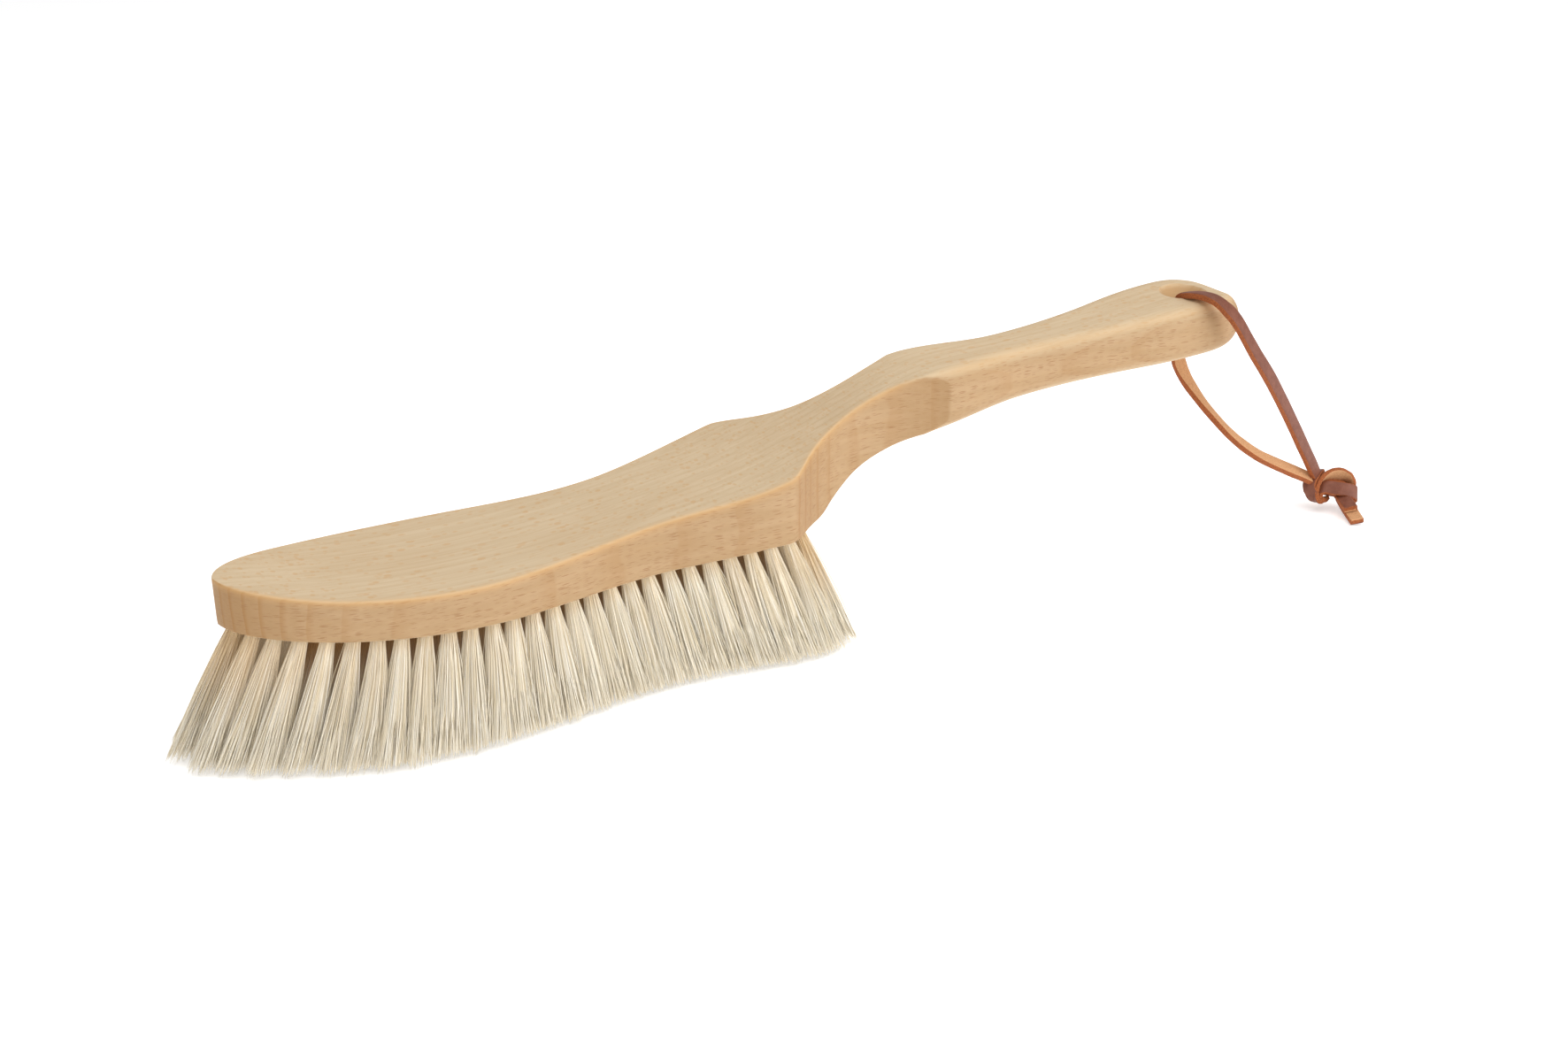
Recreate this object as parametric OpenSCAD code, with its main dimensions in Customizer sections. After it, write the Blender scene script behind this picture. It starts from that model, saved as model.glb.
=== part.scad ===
// Hand brush with a one-piece beech head and handle, rows of pale bristle tufts
// and a leather lace knotted through the handle's end.
// X runs from the nose of the head to the handle's end, Z is up, the bristle tips stand on z = 0.
// Lengths along the brush are measured from the nose, and the whole brush is centred last.

/* [Head] */
// Length of the wooden body, nose to handle end
total_length = 336; // [334:0.5:338]
// Half width of the head at its widest
head_half = 26.3; // [25:0.1:27.5]
// Half width at the waist of the head
waist_half = 20.5; // [19:0.1:22]
// Half width at the shoulders behind the bristles
shoulder_half = 25.8; // [25:0.1:27]
// Rounding of the head's edges
head_edge = 1.2; // [0.8:0.1:2]
// Radius of the bow in the head's underside
under_bow = 650; // [620:10:700]

/* [Handle] */
// Half width left between the two finger scallops
neck_half = 8.9; // [8.4:0.1:10]
// Radius of each finger scallop on the head's side
scallop_r = 40.5; // [38:0.5:42]
// Radius of each finger scallop on the handle's side
scallop_r2 = 60; // [56:1:64]
// Half width of the handle just behind the scallops
lip_half = 14.3; // [14:0.1:15]
// Half width of the handle at its slimmest
slim_half = 11.8; // [11:0.1:13]
// Half width of the handle near its end
grip_half = 18; // [17:0.1:19]
// Rounding of the handle's edges
grip_edge = 7; // [6:0.1:7.5]
// Radius of the hanging hole
hole_r = 3; // [2.8:0.1:3.4]
// Radius of the countersink round the hanging hole
sink_r = 8; // [6:0.1:9]

/* [Bristles] */
// Distance between tuft columns
tuft_pitch = 6.05; // [5.95:0.05:6.2]
// Tufts across the head
rows = 6; // [4:1:6]
// Radius of a drilled tuft hole
tuft_hole_r = 2.1; // [1.9:0.05:2.2]
// Depth of a tuft hole along its own axis
tuft_depth = 8; // [7:0.1:8.5]
// Radius of a tuft at its tips
tip_r = 3.2; // [2.6:0.1:3.2]
// Distance the outer tufts lean out sideways
lean_out = 12; // [8:0.5:13]
// Spread of the tips towards the nose, as a factor
nose_spread = 1.21; // [1.1:0.01:1.22]
// Spread of the tips towards the heel, as a factor
heel_spread = 1.11; // [1.08:0.01:1.15]

/* [Lace] */
// Width of the lace
lace_w = 4.6; // [4:0.1:4.8]
// Thickness of the lace
lace_t = 2; // [1.6:0.1:2.2]
// Radius of the knot
knot_r = 5.3; // [4.5:0.1:5.6]
// Length of the knot
knot_len = 12; // [10:0.5:13]

/* [Hidden] */
origin_x = 161;        // places the frame's origin under the middle of the brush
nose_x = 62;           // where the rounded nose reaches full width
waist_x = 114;
shoulder_x = 155;
neck_x = 192.5;
lip_x = 219;
slim_x = 248;
grip_x = 317;
bow_x = 88;            // lowest point of the underside's bow
bow_z = 30.6;
nose_power = 0.54;     // a shade more pointed than a half ellipse
shoulder_soft = 6;     // softness of the corner between shoulder and scallop
hole_x = 317;
// Heights between which the hanging hole is drilled, sunk at the top and opened out below
hole_span = [50, 90];
sink_span = [72.8, 77.65];
flare_span = [59, 60.8];
// How far the sunk cone and the lower opening run past their own radius
sink_over = 2;
flare_over = 1.8;
// How far a tuft's drill and its bundle run past their ends, and the block that trims the tips level
run_past = 3;
trim_half = 60;
trim_deep = 12;
lace_corner = 0.6;     // bevel along the lace's edges
knot_ease = 1.8;       // how much slimmer the knot is at its ends
end_inset = 0.2;       // the last body section stops just short of the end
tuft_fit = 0.05;       // clearance of a tuft in its hole
inset = 4.7;           // outer tufts to the head's edge
lean_from = 45;        // tufts nearer the nose than this lean out less
heel_gap = 5.6;        // the heel's shorter column, behind the even ones
wire = [5, 0.45, 1.4];
wire_drop = 0.6;       // staple below the hole's blind end
arc_steps = 4;         // facets on each rounded corner of a body section

// Centre line of the body's upper face, nose to handle end
top_line = [[0, 49.6], [30, 44.9], [62, 43.0], [95, 44.2], [125, 47.7], [150, 51.8], [174, 58.6],
    [192, 65.2], [204, 68.9], [216, 71.1], [246, 72.0], [278, 73.8], [300, 76.0], [317, 77.0],
    [326, 76.7], [331, 75.4], [334, 73.2], [336, 70.2]];
// Underside from the heel on: heel, hollow of the neck, handle
heel_line = [[150, 33.5], [160, 33.6], [170, 33.4], [174, 34.2], [178, 37.1], [182, 40.0], [187, 43.4],
    [194, 46.8], [204, 50.2], [216, 52.4], [246, 55.2], [278, 57.6], [300, 58.6], [317, 59.6],
    [328, 60.4], [332, 61.5], [334.5, 63.2], [336, 65.5]];

// Lace from the handle's top, out over its side and down to the knot
upper_route = [[314.3, -5, 77.3], [314.2, -8.6, 78.4], [314.9, -12, 78.9], [315.2, -15.4, 79],
    [315.6, -18.8, 78.5], [317, -22, 76.3], [319.4, -24.3, 72.6], [322.2, -25.7, 67.6],
    [326, -26.5, 61.8], [332, -27, 53.8], [339.5, -26.6, 43.4], [347.5, -25.7, 32.2],
    [355.5, -24.8, 20.8], [360.5, -24.2, 13.6], [362.8, -23.9, 10.3]];
upper_face = [[0, 0.3, 1], [0, 0.15, 1], [0, 0, 1], [0, -0.1, 1], [0.05, -0.4, 0.9], [0.1, -0.75, 0.65],
    [0.2, -0.85, 0.45], [0.28, -0.9, 0.3], [0.3, -0.93, 0.2], [0.31, -0.94, 0.13], [0.31, -0.94, 0.13],
    [0.31, -0.94, 0.13], [0.31, -0.94, 0.13], [0.31, -0.94, 0.13], [0.31, -0.94, 0.13]];
// Lace through the hanging hole
hole_route = [[317, 0, 56], [317, 0, 62], [317, 0, 68], [316.8, -0.1, 71.5], [316.2, -0.9, 74.2],
    [315, -2.8, 76.2], [314.3, -5, 77.3]];
hole_face = [[0, 1, 0], [0, 1, 0], [0, 1, 0], [0, 1, 0.1], [0, 0.85, 0.5], [0, 0.55, 0.85],
    [0, 0.3, 1]];
// Lace from the hole's lower mouth to the knot
lower_route = [[317, 0, 56], [317.3, -1.3, 52], [318.6, -3.6, 47.5], [320.5, -6.7, 43],
    [322.8, -10, 38.6], [325.7, -13.2, 34.2], [329, -16, 30], [333, -18.2, 26.2], [337.6, -20, 22.7],
    [342.5, -21.3, 19.8], [347.8, -22.2, 17], [353.2, -22.8, 14.2], [358.4, -23.2, 11.5],
    [361.6, -23.4, 9.8]];
lower_face = [[0, 1, 0], [0, 1, 0.1], [-0.2, 0.9, -0.2], [-0.4, 0.8, -0.4], [-0.5, 0.7, -0.5],
    [-0.5, 0.6, -0.6], [-0.45, 0.6, -0.7], [-0.4, 0.6, -0.7], [-0.4, 0.6, -0.7], [-0.35, 0.6, -0.75],
    [-0.3, 0.6, -0.75], [-0.3, 0.6, -0.75], [-0.3, 0.6, -0.75], [-0.3, 0.6, -0.75]];
knot_from = [362.6, -22.2, 9.2];
knot_to = [371.4, -27.2, 5.8];
tail_a_route = [[369.6, -27.4, 5.6], [367.4, -32.6, 4.7], [365, -38, 3.9]];
tail_b_route = [[370.6, -28.6, 3.4], [367.4, -35.4, 2], [363.8, -42.4, 1.4]];
tail_face = [-0.23, -0.06, 0.97];

// Tuft columns: close together round the nose, then evenly spaced, and one more at the heel.
// Each is [distance from the nose, tufts in the column].
nose_columns = [[5.2, 1], [7.8, 2], [12.2, 3], [17.8, 4]];
even_x = 24;
even_count = 23;
columns = concat(nose_columns, [for (i = [0:even_count - 1]) [even_x + i * tuft_pitch, rows]],
    [[even_x + (even_count - 1) * tuft_pitch + heel_gap, rows - 2]]);
function two_digits(n) = n < 10 ? str("0", n) : str(n);
// Stretch over which the head's small edge turns into the handle's round one, from the nose
edge_span = [172, 244];
column_names = [for (i = [1:len(columns)]) str("tufts_", two_digits(i))];

// Eases from 0 to 1 with level ends
function ease(u) = let (c = min(1, max(0, u))) c * c * (3 - 2 * c);
function between(a, b, x0, x1, x) = a + (b - a) * ease((x - x0) / (x1 - x0));
// Smaller of two values, with the corner between them softened
function soft_min(a, b, soft) = let (h = min(1, max(0, 0.5 + 0.5 * (b - a) / soft)))
    b + (a - b) * h - soft * h * (1 - h);

// Height of a smooth line through [x, z] points
function span(line, x, i = 0) = i >= len(line) - 2 || x < line[i + 1][0] ? i : span(line, x, i + 1);
function slope(line, i) = let (a = line[max(0, i - 1)], b = line[min(len(line) - 1, i + 1)])
    (b[1] - a[1]) / (b[0] - a[0]);
function line_at(line, x) = let (i = span(line, x), a = line[i], b = line[i + 1], w = b[0] - a[0],
        u = (x - a[0]) / w)
    a[1] * (1 + 2 * u) * pow(1 - u, 2) + slope(line, i) * w * u * pow(1 - u, 2)
    + b[1] * u * u * (3 - 2 * u) + slope(line, i + 1) * w * u * u * (u - 1);

// Half width of the body before the scallops are taken out
function uncut_half(x) =
    x < nose_x ? head_half * pow(1 - pow(1 - x / nose_x, 2), nose_power)
    : x < waist_x ? between(head_half, waist_half, nose_x, waist_x, x)
    : x < shoulder_x ? between(waist_half, shoulder_half, waist_x, shoulder_x, x)
    : x < lip_x ? between(shoulder_half, lip_half, shoulder_x, lip_x, x)
    : x < slim_x ? between(lip_half, slim_half, lip_x, slim_x, x)
    : x < grip_x ? between(slim_half, grip_half, slim_x, grip_x, x)
    : grip_half * sqrt(max(0, 1 - pow((x - grip_x) / (total_length - grip_x), 2)));
// Half width left by the scallops, which are arcs on both sides of the neck
function scallop_half(x) = let (r = x < neck_x ? scallop_r : scallop_r2)
    neck_half + r - sqrt(max(0, r * r - pow(x - neck_x, 2)));
function half_width(x) = soft_min(uncut_half(x), scallop_half(x), between(shoulder_soft, 0.2, 165, 195, x));
function top_z(x) = line_at(top_line, x);
function head_under(x) = bow_z + pow(x - bow_x, 2) / (2 * under_bow);
function under_z(x) = x < heel_line[0][0] ? head_under(x) : line_at(heel_line, x);
function edge_r(x) = between(head_edge, grip_edge, edge_span[0], edge_span[1], x);

// One corner of a cross-section, as [y, how far below the flat face], from the flat face to the side.
// The rounding belongs to the uncut body, so the scallops cut through it and leave a crisp edge.
function corner_points(x, half_thick) = let (full = uncut_half(x), w = half_width(x),
        r = min(edge_r(x), full - 0.1, half_thick - 0.1), first = min(full - r, w - min(head_edge, r)),
        cut = sqrt(max(0, 1 - pow(max(0, w - full + r) / r, 2))))
    [for (i = [0:arc_steps])
        let (y = first + (w - first) * sin(90 * i / arc_steps), k = max(0, y - full + r) / r)
        [y, r * (1 - sqrt(max(0, 1 - k * k))) + head_edge * cut * (1 - cos(90 * i / arc_steps))]];

// One cross-section of the body
function body_section(x) = let (t = top_z(x), u = under_z(x), c = corner_points(x, (t - u) / 2))
    concat([for (p = c) [x, p[0], t - p[1]]], [for (i = [arc_steps:-1:0]) [x, c[i][0], u + c[i][1]]],
        [for (p = c) [x, -p[0], u + p[1]]], [for (i = [arc_steps:-1:0]) [x, -c[i][0], t - c[i][1]]]);

// Distances from the nose at which the body gets a section
section_x = concat(
    [for (a = [4, 8, 15, 24, 33, 42, 51, 60, 69, 78]) nose_x * (1 - cos(a))],
    [for (x = [nose_x - 6:10:148]) x],
    [for (x = [152:2.5:222]) x],
    [for (x = [228:9:grip_x - 6]) x],
    [for (a = [0, 15, 30, 43, 55, 65, 74]) grip_x + (total_length - grip_x) * sin(a)],
    [total_length - end_inset]);

// Closed surface through a list of equal-sized rings
module loft(rings) {
    n = len(rings[0]);
    last = len(rings) - 1;
    sides = [for (i = [0:last - 1], j = [0:n - 1], half = [0, 1])
        let (a = i * n + j, b = i * n + (j + 1) % n, c = b + n, d = a + n)
        half == 0 ? [a, b, c] : [a, c, d]];
    polyhedron([for (ring = rings, p = ring) p],
        concat(sides, [[for (j = [n - 1:-1:0]) j]], [[for (j = [0:n - 1]) last * n + j]]));
}

// Places a child whose z axis runs from p towards q
module along(p, q) {
    d = q - p;
    translate(p) rotate([0, acos(d[2] / norm(d)), atan2(d[1], d[0])]) children();
}

// Tufts of one column, each as [root point on the underside, tip point on the ground]
function tufts_of(column) = let (x = column[0], n = column[1],
        dw = (uncut_half(x + 1) - uncut_half(x - 1)) / 2,
        edge = half_width(x) - inset * sqrt(1 + dw * dw),
        spread = x < bow_x ? nose_spread : heel_spread, lean = lean_out * min(1, x / lean_from))
    [for (j = [0:n - 1]) let (s = n == 1 ? 0 : 2 * j / (n - 1) - 1, y = s * edge)
        [[x, y, under_z(x)], [bow_x + (x - bow_x) * spread, y + s * lean, 0]]];
// Unit vector of a tuft, from its root into the wood
function into(tuft) = (tuft[0] - tuft[1]) / norm(tuft[0] - tuft[1]);

// The block turned from one piece of wood, drilled for the tufts and the lace
// Cone or cylinder about the hanging hole's axis, between two heights
module turned(heights, r_low, r_high) translate([hole_x, 0, heights[0]])
    cylinder(h = heights[1] - heights[0], r1 = r_low, r2 = r_high, $fn = 48);

module block() color("burlywood") translate([-origin_x, 0, 0]) difference() {
    loft([for (x = section_x) body_section(x)]);
    for (column = columns, tuft = tufts_of(column))
        along(tuft[0] - run_past * into(tuft), tuft[0])
            cylinder(h = tuft_depth + run_past, r = tuft_hole_r, $fn = 24);
    turned(hole_span, hole_r, hole_r);
    turned(sink_span, hole_r, sink_r + sink_over);
    turned(flare_span, hole_r + flare_over, hole_r);
}

// One staple, lying across the blind end of its hole
module staple(tuft, slack = 0) {
    size = wire + 2 * slack * [1, 1, 1];
    along(tuft[0], tuft[0] + into(tuft))
        translate([-size[0] / 2, -size[1] / 2, tuft_depth - wire_drop - wire[2] - slack]) cube(size);
}

// One tuft: a tight round bundle in its hole that widens to its trimmed tips
module tuft(tuft) {
    long = norm(tuft[0] - tuft[1]);
    r = tuft_hole_r - tuft_fit;
    difference() {
        along(tuft[0], tuft[0] + into(tuft)) rotate_extrude($fn = 24)
            polygon([[0, tuft_depth - tuft_fit], [r, tuft_depth - tuft_fit], [r, 0], [tip_r, -long],
                [tip_r, -long - run_past], [0, -long - run_past]]);
        translate([-trim_half, -trim_half, -trim_deep]) cube([total_length, 2 * trim_half, trim_deep]);
        staple(tuft, tuft_fit);
    }
}

module tuft_column(i) color("ivory") translate([-origin_x, 0, 0])
    for (t = tufts_of(columns[i])) tuft(t);

module tuft_wires() color("silver") translate([-origin_x, 0, 0])
    for (column = columns, t = tufts_of(column)) staple(t);

// Flat leather lace along a route, its grain side turned to the given directions
function unit(v) = v / norm(v);
function lace_ring(route, faces, i) = let (last = len(route) - 1,
        t = unit(route[min(last, i + 1)] - route[max(0, i - 1)]),
        side = unit(cross(t, faces[i])), up = cross(side, t),
        w = lace_w / 2, h = lace_t / 2, v = w - lace_corner, k = h - lace_corner)
    [for (q = [[w, k], [v, h], [-v, h], [-w, k], [-w, -k], [-v, -h], [v, -h], [w, -k]])
        route[i] + q[0] * side + q[1] * up];
module lace(route, faces) color("sienna") translate([-origin_x, 0, 0])
    loft([for (i = [0:len(route) - 1]) lace_ring(route, faces, i)]);

module lace_upper() lace(upper_route, upper_face);
module lace_in_hole() lace(hole_route, hole_face);
module lace_lower() lace(lower_route, lower_face);
module lace_tail_a() lace(tail_a_route, [for (p = tail_a_route) tail_face]);
module lace_tail_b() lace(tail_b_route, [for (p = tail_b_route) tail_face]);

// The knot, as a plain barrel
module lace_knot() color("saddlebrown") translate([-origin_x, 0, 0])
    along((knot_from + knot_to) / 2, knot_to) rotate_extrude($fn = 32)
        polygon([[0, -knot_len / 2], [knot_r - knot_ease, -knot_len / 2], [knot_r, -knot_len / 4],
            [knot_r, knot_len / 4], [knot_r - knot_ease, knot_len / 2], [0, knot_len / 2]]);

block();
for (i = [0:len(columns) - 1])
    tuft_column(i);
tuft_wires();
lace_upper();
lace_in_hole();
lace_lower();
lace_knot();
lace_tail_a();
lace_tail_b();
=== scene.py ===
"""Looks of a beech bee brush: wooden body, drilled-in bristle tufts and a knotted leather lace.

Shapes are worked out in millimetres from the nose of the head and placed in the shared frame, in metres, last.
"""
import logging
import math
from dataclasses import dataclass
from enum import Enum
from typing import Optional, Sequence

import bpy
import numpy as np
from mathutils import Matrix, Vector


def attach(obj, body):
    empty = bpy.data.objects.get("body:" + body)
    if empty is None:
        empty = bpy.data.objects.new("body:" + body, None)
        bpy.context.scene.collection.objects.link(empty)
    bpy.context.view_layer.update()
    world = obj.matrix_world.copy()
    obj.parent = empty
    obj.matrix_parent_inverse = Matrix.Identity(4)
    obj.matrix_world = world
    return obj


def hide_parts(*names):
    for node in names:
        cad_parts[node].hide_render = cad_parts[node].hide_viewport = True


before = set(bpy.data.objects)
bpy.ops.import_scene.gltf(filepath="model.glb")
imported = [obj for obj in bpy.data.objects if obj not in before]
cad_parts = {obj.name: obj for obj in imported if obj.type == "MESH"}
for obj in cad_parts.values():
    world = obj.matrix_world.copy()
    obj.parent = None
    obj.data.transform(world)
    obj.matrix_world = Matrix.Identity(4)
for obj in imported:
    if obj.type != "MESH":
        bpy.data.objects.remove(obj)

log = logging.getLogger("bee_brush")

MM = 0.001
NOSE_TO_ORIGIN = 161.0

GOLDEN_TURN = 2.399963
THIRDS = (0.0, 2.0944, 4.18879)

Array = np.ndarray
Colour = tuple[float, float, float, float]


class LeatherSide(Enum):
    """Which side of the lace a band shows outwards."""

    GRAIN = 1.0
    FLESH = -1.0


# ---------------------------------------------------------------- shared shape helpers


def placed(points: Array) -> Array:
    """Millimetres from the nose turned into metres in the shared frame: x less the nose's distance, all times 0.001."""
    return (np.asarray(points, float) - np.array([NOSE_TO_ORIGIN, 0.0, 0.0])) * MM


def unit(v: Array) -> Array:
    """Each vector divided by its own length."""
    v = np.asarray(v, float)
    return v / np.maximum(np.linalg.norm(v, axis=-1, keepdims=True), 1e-12)


def ease(u: Array) -> Array:
    """Smooth step: 3 u squared less 2 u cubed, with u held between 0 and 1."""
    c = np.clip(u, 0.0, 1.0)
    return c * c * (3.0 - 2.0 * c)


def between(a: float, b: float, x0: float, x1: float, x: Array) -> Array:
    """Value that eases from a at x0 to b at x1."""
    return a + (b - a) * ease((x - x0) / (x1 - x0))


def soft_min(a: Array, b: Array, soft: Array) -> Array:
    """Smaller of two values, with the corner between them rounded over the width soft.

    Args:
        a: First values.
        b: Second values.
        soft: Width of the rounding.

    Returns:
        A blend of a and b less a small parabola where they cross.
    """
    h = np.clip(0.5 + 0.5 * (b - a) / soft, 0.0, 1.0)
    return b + (a - b) * h - soft * h * (1.0 - h)


def smooth_line(points: Sequence[Sequence[float]], x: Array) -> Array:
    """Height of a smooth line through points.

    Formula: a cubic between each two points, whose slope at a point is that between its two neighbours.

    Args:
        points: Pairs of distance and height, by rising distance.
        x: Distances to read.

    Returns:
        Height at each distance.
    """
    p = np.asarray(points, float)
    before = np.maximum(np.arange(len(p)) - 1, 0)
    after = np.minimum(np.arange(len(p)) + 1, len(p) - 1)
    slope = (p[after, 1] - p[before, 1]) / (p[after, 0] - p[before, 0])
    i = np.clip(np.searchsorted(p[:, 0], x, side="right") - 1, 0, len(p) - 2)
    w = p[i + 1, 0] - p[i, 0]
    u = (x - p[i, 0]) / w
    return (
        p[i, 1] * (1 + 2 * u) * (1 - u) ** 2
        + slope[i] * w * u * (1 - u) ** 2
        + p[i + 1, 1] * u * u * (3 - 2 * u)
        + slope[i + 1] * w * u * u * (u - 1)
    )


def rounded_path(points: Array, per_span: int) -> Array:
    """Curve through every given point.

    Formula: on each span, the cubic whose end tangents are half the chord between the neighbouring points.

    Args:
        points: Route points, one row each.
        per_span: Samples on each span.

    Returns:
        Points of the smooth curve, ends included.
    """
    p = np.asarray(points, float)
    q = np.vstack([2 * p[0] - p[1], p, 2 * p[-1] - p[-2]])
    t = np.linspace(0.0, 1.0, per_span, endpoint=False)[None, :, None]
    a, b, c, d = (q[k : k + len(p) - 1][:, None, :] for k in range(4))
    curve = 0.5 * (2 * b + (c - a) * t + (2 * a - 5 * b + 4 * c - d) * t**2 + (3 * b - a - 3 * c + d) * t**3)
    return np.vstack([curve.reshape(-1, p.shape[1]), p[-1]])


def soft_noise(n: int, every: int, rng: np.random.Generator) -> Array:
    """Smooth random line of n values between about -1 and 1, with a fresh value every few samples."""
    knots = rng.uniform(-1, 1, n // every + 4)
    at = np.arange(n) / every
    i = at.astype(int)
    u = ease(at - i)
    return knots[i] * (1 - u) + knots[i + 1] * u


def grid_faces(rings: int, around: int) -> Array:
    """Quads between closed rings, each joined to the next, facing outwards for rings that turn left of travel.

    Args:
        rings: Number of rings.
        around: Points on a ring.

    Returns:
        Vertex numbers, four to a face.
    """
    i, j = np.meshgrid(np.arange(rings - 1), np.arange(around), indexing="ij")
    nxt = (j + 1) % around
    return np.stack([i * around + j, i * around + nxt, (i + 1) * around + nxt, (i + 1) * around + j], -1).reshape(-1, 4)


def new_piece(name: str, verts: Array, faces: Array, caps: Sequence[Sequence[int]] = ()) -> bpy.types.Object:
    """Mesh object in the shared frame.

    Args:
        name: Piece name.
        verts: Points in millimetres from the nose.
        faces: Faces as rows of vertex numbers.
        caps: Further faces of any length, such as closed ends.

    Returns:
        The linked object, smooth shaded.
    """
    mesh = bpy.data.meshes.new(name)
    mesh.from_pydata(placed(verts).tolist(), [], faces.tolist() + [list(map(int, c)) for c in caps])
    mesh.polygons.foreach_set("use_smooth", np.ones(len(mesh.polygons), bool))
    mesh.update()
    obj = bpy.data.objects.new(name, mesh)
    bpy.context.collection.objects.link(obj)
    return obj


def set_attribute(obj: bpy.types.Object, name: str, values: Array) -> None:
    """Stores one number per vertex under the given name."""
    layer = obj.data.attributes.new(name, "FLOAT", "POINT")
    layer.data.foreach_set("value", np.asarray(values, np.float32).ravel())


def set_uv(obj: bpy.types.Object, uv: Array) -> None:
    """Gives every corner the u and v of its vertex."""
    loops = np.empty(len(obj.data.loops), np.int32)
    obj.data.loops.foreach_get("vertex_index", loops)
    layer = obj.data.uv_layers.new(name="run")
    layer.data.foreach_set("uv", np.asarray(uv, np.float32)[loops].ravel())


def finish_piece(
    obj: bpy.types.Object, body: str, nodes: Sequence[str], material: bpy.types.Material,
) -> None:
    """Dresses a piece, ties it to its body and hides the parts it stands for.

    Args:
        obj: The piece.
        body: Body it moves with.
        nodes: Parts it replaces.
        material: Its finish.
    """
    obj.data.materials.clear()
    obj.data.materials.append(material)
    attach(obj, body)
    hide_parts(*nodes)
    log.info("%s: %d faces, moves with %s", obj.name, len(obj.data.polygons), body)


# ---------------------------------------------------------------- finishes


class Shader:
    """Small helper that wires a material's nodes."""

    def __init__(self, name: str) -> None:
        """Starts a material with one Principled shader."""
        self.material = bpy.data.materials.new(name)
        self.material.use_nodes = True
        self.tree = self.material.node_tree
        self.principled = self.tree.nodes["Principled BSDF"]

    def node(self, kind: str, **inputs: object) -> bpy.types.Node:
        """Adds a node and sets or links its inputs.

        Args:
            kind: Blender's node type.
            inputs: Values or sockets by input name, with spaces as underscores; an i and a number picks by place.

        Returns:
            The new node.
        """
        made = self.tree.nodes.new(kind)
        for key, value in inputs.items():
            by_place = key[0] == "i" and key[1:].isdigit()
            socket = made.inputs[int(key[1:])] if by_place else made.inputs[key.replace("_", " ")]
            self.plug(socket, value)
        return made

    def plug(self, socket: bpy.types.NodeSocket, value: object) -> None:
        """Links a socket to another, or sets its value."""
        if isinstance(value, bpy.types.NodeSocket):
            self.tree.links.new(value, socket)
        else:
            socket.default_value = value

    def place(self, scale: Sequence[float]) -> bpy.types.NodeSocket:
        """Object coordinates, scaled."""
        coords = self.node("ShaderNodeTexCoord")
        return self.node("ShaderNodeMapping", Vector=coords.outputs["Object"], Scale=scale).outputs[0]

    def run_uv(self, scale: Sequence[float]) -> bpy.types.NodeSocket:
        """The piece's own map, scaled."""
        uv = self.node("ShaderNodeUVMap")
        uv.uv_map = "run"
        return self.node("ShaderNodeMapping", Vector=uv.outputs[0], Scale=scale).outputs[0]

    def attribute(self, name: str) -> bpy.types.NodeSocket:
        """A number stored on the piece's vertices."""
        made = self.node("ShaderNodeAttribute")
        made.attribute_name = name
        return made.outputs["Fac"]

    def noise(
        self, where: bpy.types.NodeSocket, scale: float, detail: float = 3, rough: float = 0.55,
    ) -> bpy.types.NodeSocket:
        """Fractal noise, as one number."""
        return self.node("ShaderNodeTexNoise", Vector=where, Scale=scale, Detail=detail, Roughness=rough).outputs["Fac"]

    def cells(self, where: bpy.types.NodeSocket, scale: float) -> bpy.types.NodeSocket:
        """Distance to the nearest of many scattered points."""
        return self.node("ShaderNodeTexVoronoi", Vector=where, Scale=scale).outputs["Distance"]

    def fit(
        self, value: bpy.types.NodeSocket, low: float, high: float, to_low: float = 0, to_high: float = 1,
    ) -> bpy.types.NodeSocket:
        """Stretches low to high onto another range, with eased ends."""
        made = self.node("ShaderNodeMapRange", Value=value, From_Min=low, From_Max=high, To_Min=to_low, To_Max=to_high)
        made.interpolation_type = "SMOOTHSTEP"
        return made.outputs[0]

    def math(self, operation: str, a: object, b: object = 0.0) -> bpy.types.NodeSocket:
        """One arithmetic step on two numbers."""
        made = self.node("ShaderNodeMath", i0=a, i1=b)
        made.operation = operation
        return made.outputs[0]

    def mix(self, share: object, a: object, b: object) -> bpy.types.NodeSocket:
        """Mixes two colours by a share from 0 to 1."""
        made = self.tree.nodes.new("ShaderNodeMix")
        made.data_type = "RGBA"
        self.plug(made.inputs[0], share)
        self.plug(made.inputs[6], a)
        self.plug(made.inputs[7], b)
        return made.outputs[2]

    def bump(
        self, height: bpy.types.NodeSocket, strength: float, distance: float,
        under: Optional[bpy.types.NodeSocket] = None,
    ) -> bpy.types.NodeSocket:
        """Turns a height into a shading normal, on top of an earlier one if given."""
        made = self.node("ShaderNodeBump", Height=height, Strength=strength, Distance=distance)
        if under is not None:
            self.plug(made.inputs["Normal"], under)
        return made.outputs[0]



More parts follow.
